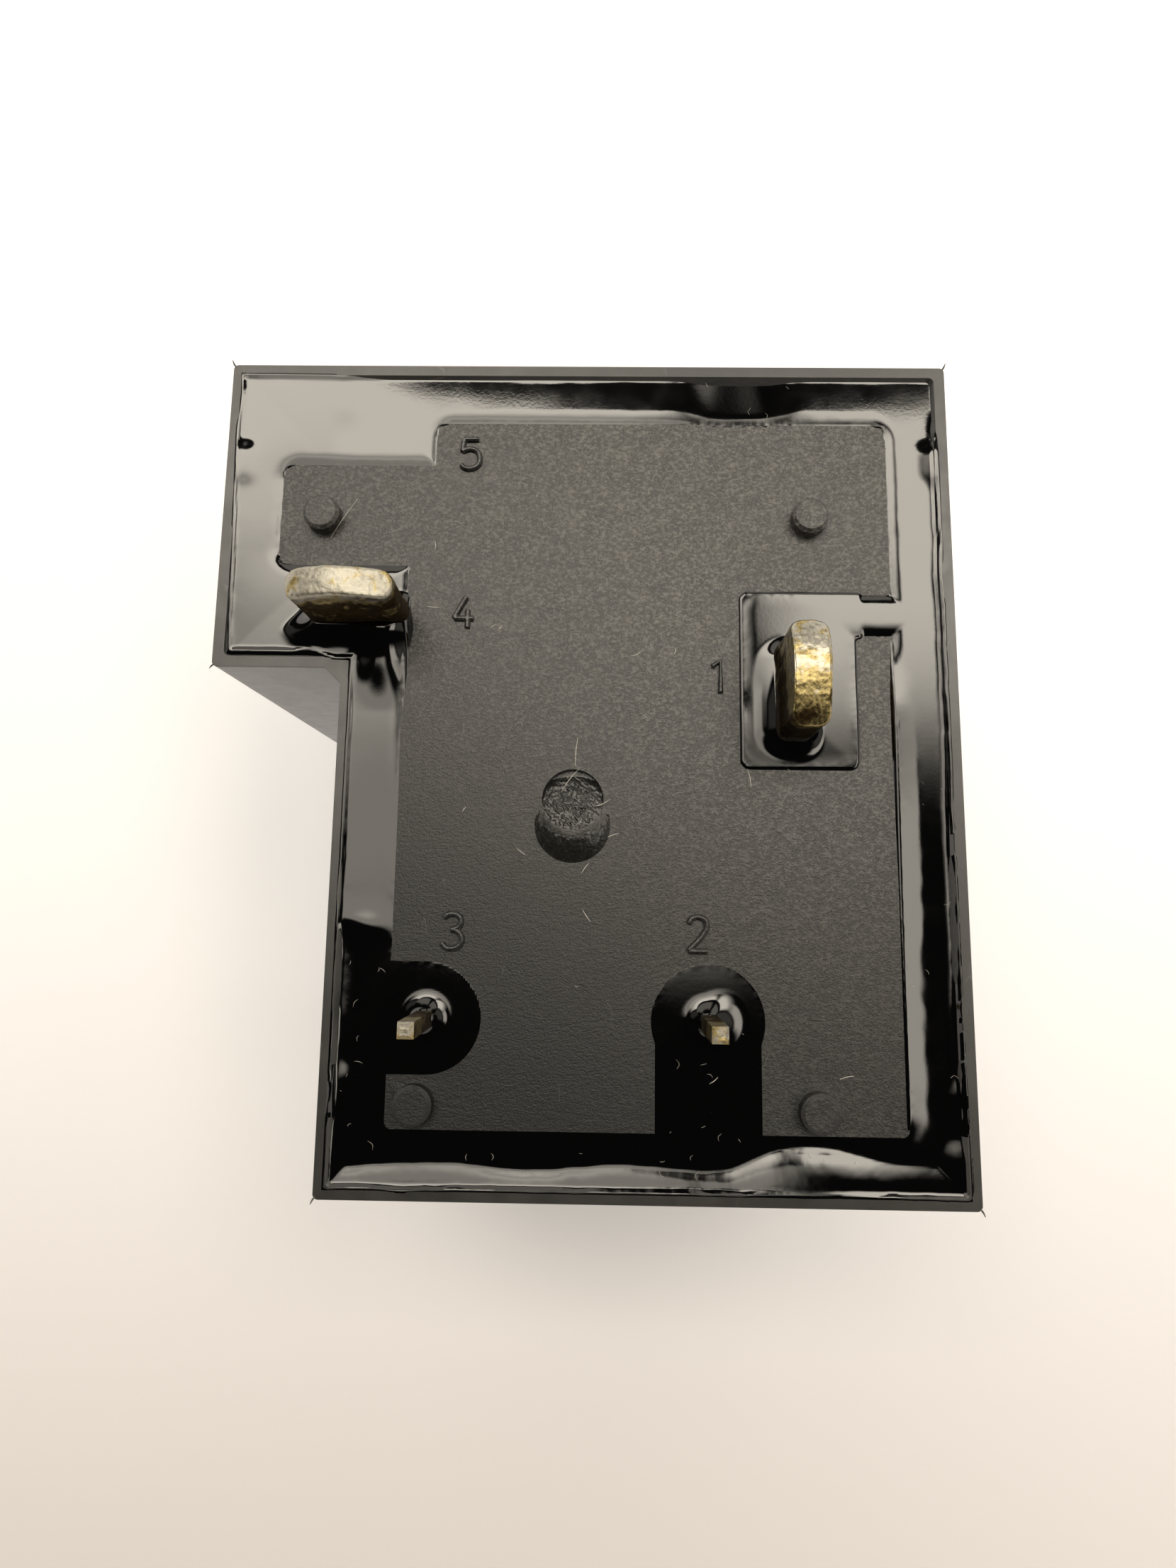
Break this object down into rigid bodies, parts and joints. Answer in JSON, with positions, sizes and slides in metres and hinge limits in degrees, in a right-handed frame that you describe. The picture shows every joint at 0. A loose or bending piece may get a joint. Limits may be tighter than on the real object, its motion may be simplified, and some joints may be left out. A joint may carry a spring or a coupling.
{
  "type": "power relay",
  "caption": "Sealed printed-board power relay in a black L-shaped plastic case, potted at the terminal side, with two load blades and two coil pins standing up; armature and contacts inside.",
  "frame": {"origin": "centre of the bounding box on the flat top of the case, which is the face it lies on", "axes": "+Z out of the terminal side, along the terminals; +Y towards the wide contact end; +X towards the common terminal's side"},
  "size_m": [0.0282, 0.0316, 0.0233],
  "materials": {
    "case_plastic": "fine-grained black polyester, slightly dusty",
    "base_plastic": "matt spark-eroded grain, dark grey-black",
    "sealing_resin": "glossy black epoxy, wavy at its edges",
    "tinned_brass": "hot-tinned, patchy, gold where the tin is thin",
    "tinned_pin": "tinned, dull",
    "plain_brass": "plain stamped brass",
    "bobbin_plastic": "natural glass-filled nylon",
    "enamelled_copper": "enamelled copper wire",
    "coil_tape": "yellow polyester tape",
    "soft_iron": "zinc-plated soft iron",
    "spring_copper": "rolled copper alloy strip",
    "contact_silver": "silver alloy, satin",
    "rivet_brass": "staked brass",
    "spring_steel": "rolled stainless strip",
    "bare_copper": "woven bare copper"
  },
  "bodies": {
    "case": {"cover": "case_plastic", "base": "base_plastic", "sealing_resin": "sealing_resin", "common_terminal": "tinned_brass", "open_terminal": "tinned_brass", "coil_pin_2": "tinned_pin", "coil_pin_3": "tinned_pin", "back_stop": "plain_brass", "bobbin": "bobbin_plastic", "coil_winding": "enamelled_copper", "coil_tape": "coil_tape", "coil_leads": "enamelled_copper", "core": "soft_iron", "yoke": "soft_iron", "fixed_contact": "contact_silver", "return_spring": "spring_steel", "spring_rivet": "rivet_brass", "copper_braid": "bare_copper"},
    "moving_armature": {"armature": "soft_iron", "contact_blade": "spring_copper", "moving_contact": "contact_silver", "armature_rivets": "rivet_brass"}
  },
  "joints": [
    {"name": "armature_rock", "type": "hinge", "parent": "case", "child": "moving_armature", "pos_m": [-0.00039, -0.0112, 0.00355], "axis": [1, 0, 0], "range_deg": [0, 2.4], "stiffness_Nm_per_rad": 0.05, "springref_deg": -5.73, "deforming": ["return_spring", "copper_braid"]}
  ]
}
